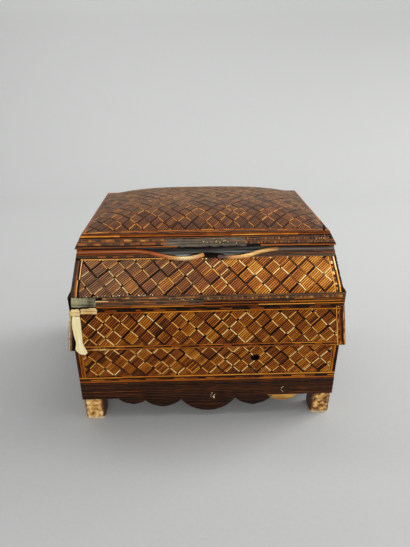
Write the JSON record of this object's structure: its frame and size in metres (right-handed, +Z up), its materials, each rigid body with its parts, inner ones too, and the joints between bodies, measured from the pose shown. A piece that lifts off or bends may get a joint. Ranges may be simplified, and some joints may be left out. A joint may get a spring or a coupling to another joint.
{
  "type": "keepsake box with hinged lid and drawer",
  "caption": "Slant-fronted wooden keepsake box covered in straw marquetry, with a cushion-shaped hinged lid, a drawer below a flared skirt, a lobed apron and block feet.",
  "frame": {"origin": "centre of the footprint, on the surface that the feet stand on", "axes": "+X to the right as the front is faced, +Y to the back, +Z up; the front faces -Y"},
  "size_m": [0.273, 0.2022, 0.2135],
  "materials": {
    "straw_marquetry": "satin split straw glued over softwood, honey, orange and dark brown",
    "apron_straw": "satin dark brown straw laid along the board",
    "bare_wood": "matte aged softwood",
    "foot_wood": "worn softwood with remains of straw and varnish",
    "lip_wood": "dark grey stained softwood",
    "bead_straw": "satin copper-brown straw wound on a cord",
    "hinge_brass": "dull aged brass",
    "iron_wire": "dark iron wire"
  },
  "bodies": {
    "case": {"apron_back": "apron_straw", "apron_front": "apron_straw", "apron_left": "apron_straw", "apron_right": "apron_straw", "base_board": "bare_wood", "divider_board": "bare_wood", "foot_back_left": "foot_wood", "foot_back_right": "foot_wood", "foot_front_left": "foot_wood", "foot_front_right": "foot_wood", "hinge_case_leaf_left": "hinge_brass", "hinge_case_leaf_right": "hinge_brass", "hinge_nails_case": "hinge_brass", "hinge_pin_left": "iron_wire", "hinge_pin_right": "iron_wire", "ledge_front": "straw_marquetry", "ledge_left": "straw_marquetry", "ledge_right": "straw_marquetry", "lip_back": "lip_wood", "lip_front": "lip_wood", "lip_left": "lip_wood", "lip_right": "lip_wood", "lower_back": "straw_marquetry", "lower_side_left": "straw_marquetry", "lower_side_right": "straw_marquetry", "skirt_front": "straw_marquetry", "skirt_left": "straw_marquetry", "skirt_right": "straw_marquetry", "slope_bead_left": "bead_straw", "slope_bead_right": "bead_straw", "slope_panel": "straw_marquetry", "upper_back": "straw_marquetry", "upper_front": "bare_wood", "upper_side_left": "straw_marquetry", "upper_side_right": "straw_marquetry"},
    "lid": {"hinge_lid_leaf_left": "hinge_brass", "hinge_lid_leaf_right": "hinge_brass", "hinge_nails_lid": "hinge_brass", "lid_back": "straw_marquetry", "lid_dome": "straw_marquetry", "lid_front": "straw_marquetry", "lid_left": "straw_marquetry", "lid_right": "straw_marquetry"},
    "drawer": {"drawer_back": "bare_wood", "drawer_bottom": "bare_wood", "drawer_front": "straw_marquetry", "drawer_side_left": "bare_wood", "drawer_side_right": "bare_wood"}
  },
  "joints": [
    {"name": "lid_hinge", "type": "hinge", "parent": "case", "child": "lid", "pos_m": [0, 0.09925, 0.1839], "axis": [-1, 0, 0], "range_deg": [0, 105]},
    {"name": "drawer_slide", "type": "slide", "parent": "case", "child": "drawer", "axis": [0, -1, 0], "range_m": [0, 0.14]}
  ]
}
